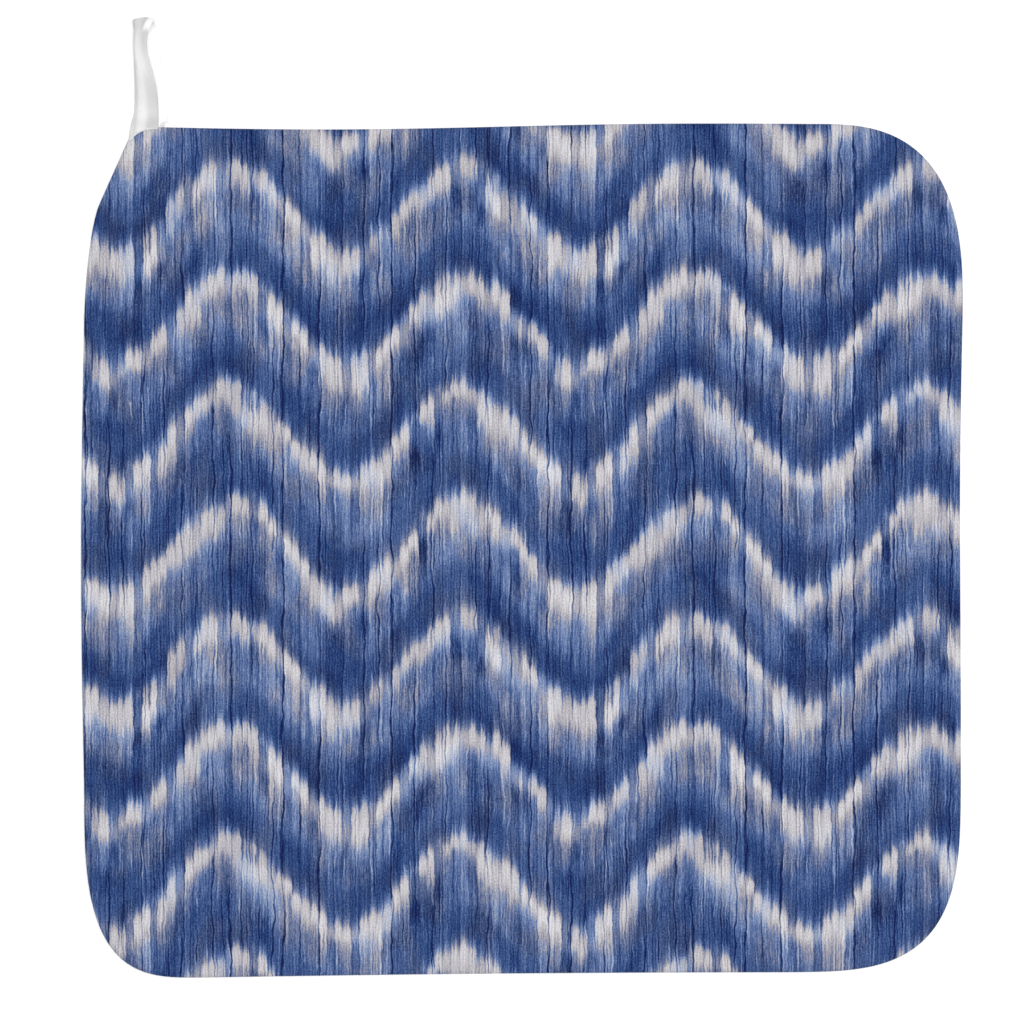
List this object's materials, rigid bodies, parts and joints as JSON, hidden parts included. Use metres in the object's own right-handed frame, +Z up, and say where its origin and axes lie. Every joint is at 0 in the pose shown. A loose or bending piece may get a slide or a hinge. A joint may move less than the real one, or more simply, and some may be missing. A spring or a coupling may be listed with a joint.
{
  "type": "hand towel",
  "caption": "Square printed cloth hand towel with rounded corners, lying flat face up, with a folded white tape loop at one corner to hang it by.",
  "frame": {"origin": "centre of the whole part's footprint, loop included, on the surface that it lies on", "axes": "+X to the right and +Y towards the loop's side as seen from above, +Z up out of the printed face"},
  "size_m": [0.3, 0.3265, 0.0126],
  "materials": {
    "printed_cloth": "short soft nap, printed blue and off-white",
    "white_tape": "plain woven white tape, matt"
  },
  "bodies": {
    "root": {"towel": "printed_cloth", "hanging_loop": "white_tape"}
  },
  "joints": []
}
